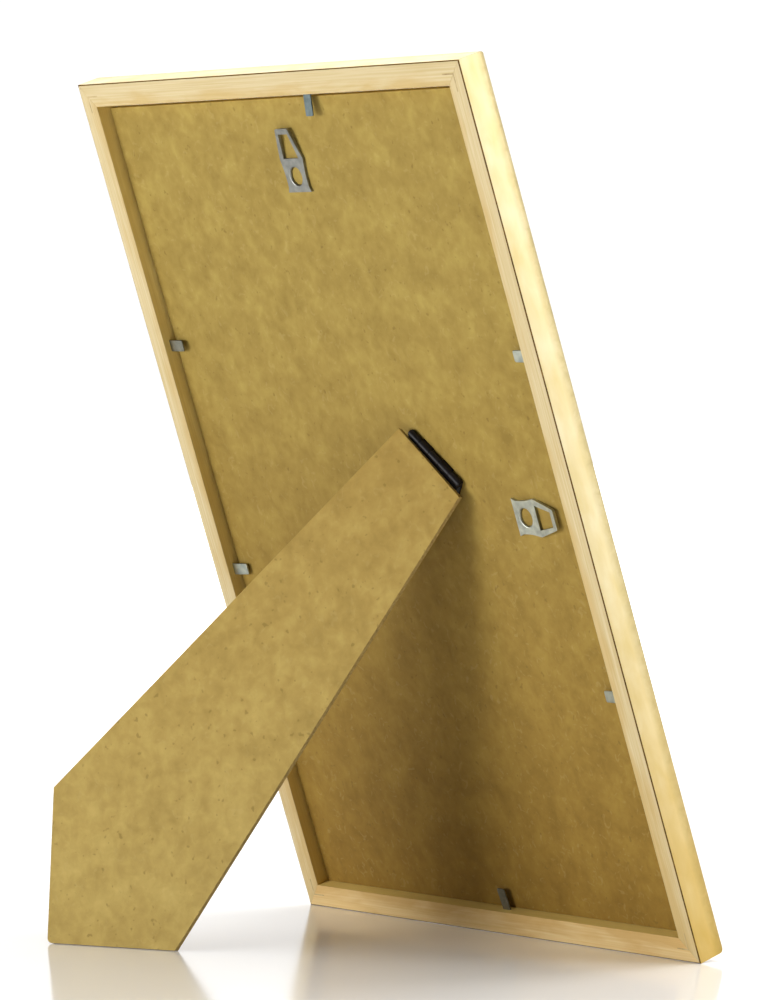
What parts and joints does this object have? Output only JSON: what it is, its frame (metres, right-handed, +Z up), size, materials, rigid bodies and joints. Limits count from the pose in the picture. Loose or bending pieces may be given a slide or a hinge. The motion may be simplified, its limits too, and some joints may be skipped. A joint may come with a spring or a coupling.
{
  "type": "photo frame",
  "caption": "Gilded wooden photo frame on a slanting hardboard strut that stands it upright or on its side, with steel hangers and bent tabs on its hardboard back.",
  "frame": {"origin": "middle of the footprint, on the surface that the frame and its strut stand on", "axes": "+Z up, +Y out of the back towards the strut's foot, +X to the left seen from behind"},
  "size_m": [0.229, 0.1394, 0.3048],
  "materials": {
    "gilded_wood": "gold leaf on the outer side and front, bare pale wood at the back and in the rebate",
    "nail_steel": "plain",
    "clear_glass": "polished",
    "paper_sheet": "matt, blank",
    "hardboard": "mottled hardboard",
    "strut_hardboard": "paler hardboard with dark flecks",
    "black_steel": "black lacquer, half gloss",
    "hanger_steel": "zinc plated",
    "tab_steel": "zinc plated"
  },
  "bodies": {
    "frame": {"rail_top": "gilded_wood", "rail_bottom": "gilded_wood", "rail_left": "gilded_wood", "rail_right": "gilded_wood", "corner_nail_upper_left": "nail_steel", "corner_nail_upper_right": "nail_steel", "corner_nail_lower_left": "nail_steel", "corner_nail_lower_right": "nail_steel", "glass": "clear_glass", "photo_sheet": "paper_sheet", "back_board": "hardboard", "hinge_board_leaf": "black_steel", "hinge_pin": "black_steel", "hanger_top": "hanger_steel", "hanger_side": "hanger_steel", "tab_top_root": "tab_steel", "tab_bottom_root": "tab_steel", "tab_left_upper_root": "tab_steel", "tab_left_lower_root": "tab_steel", "tab_right_upper_root": "tab_steel", "tab_right_lower_root": "tab_steel"},
    "strut": {"strut": "strut_hardboard", "hinge_strut_leaf": "black_steel"},
    "tab_top_tongue": {"tab_top": "tab_steel"},
    "tab_bottom_tongue": {"tab_bottom": "tab_steel"},
    "tab_left_upper_tongue": {"tab_left_upper": "tab_steel"},
    "tab_left_lower_tongue": {"tab_left_lower": "tab_steel"},
    "tab_right_upper_tongue": {"tab_right_upper": "tab_steel"},
    "tab_right_lower_tongue": {"tab_right_lower": "tab_steel"}
  },
  "joints": [
    {"name": "strut_fold", "type": "hinge", "parent": "frame", "child": "strut", "pos_m": [-0.037, -0.01055, 0.17014], "axis": [-0.7431, -0.1956, -0.6399], "range_deg": [0, 32.1]},
    {"name": "tab_top_bend", "type": "hinge", "parent": "frame", "child": "tab_top_tongue", "pos_m": [-0.0213, 0.0284, 0.29479], "axis": [1, 0, 0], "range_deg": [-20.2, 71]},
    {"name": "tab_bottom_bend", "type": "hinge", "parent": "frame", "child": "tab_bottom_tongue", "pos_m": [-0.0068, -0.05902, 0.00886], "axis": [-1, 0, 0], "range_deg": [-15.2, 76]},
    {"name": "tab_left_upper_bend", "type": "hinge", "parent": "frame", "child": "tab_left_upper_tongue", "pos_m": [0.106, 0.00194, 0.20825], "axis": [0, -0.2924, -0.9563], "range_deg": [-11.2, 80]},
    {"name": "tab_left_lower_bend", "type": "hinge", "parent": "frame", "child": "tab_left_lower_tongue", "pos_m": [0.106, -0.02306, 0.12648], "axis": [0, -0.2924, -0.9563], "range_deg": [-6.2, 85]},
    {"name": "tab_right_upper_bend", "type": "hinge", "parent": "frame", "child": "tab_right_upper_tongue", "pos_m": [-0.106, 0.00106, 0.20538], "axis": [0, 0.2924, 0.9563], "range_deg": [-11.2, 80]},
    {"name": "tab_right_lower_bend", "type": "hinge", "parent": "frame", "child": "tab_right_lower_tongue", "pos_m": [-0.106, -0.03402, 0.09062], "axis": [0, 0.2924, 0.9563], "range_deg": [-11.2, 80]}
  ]
}
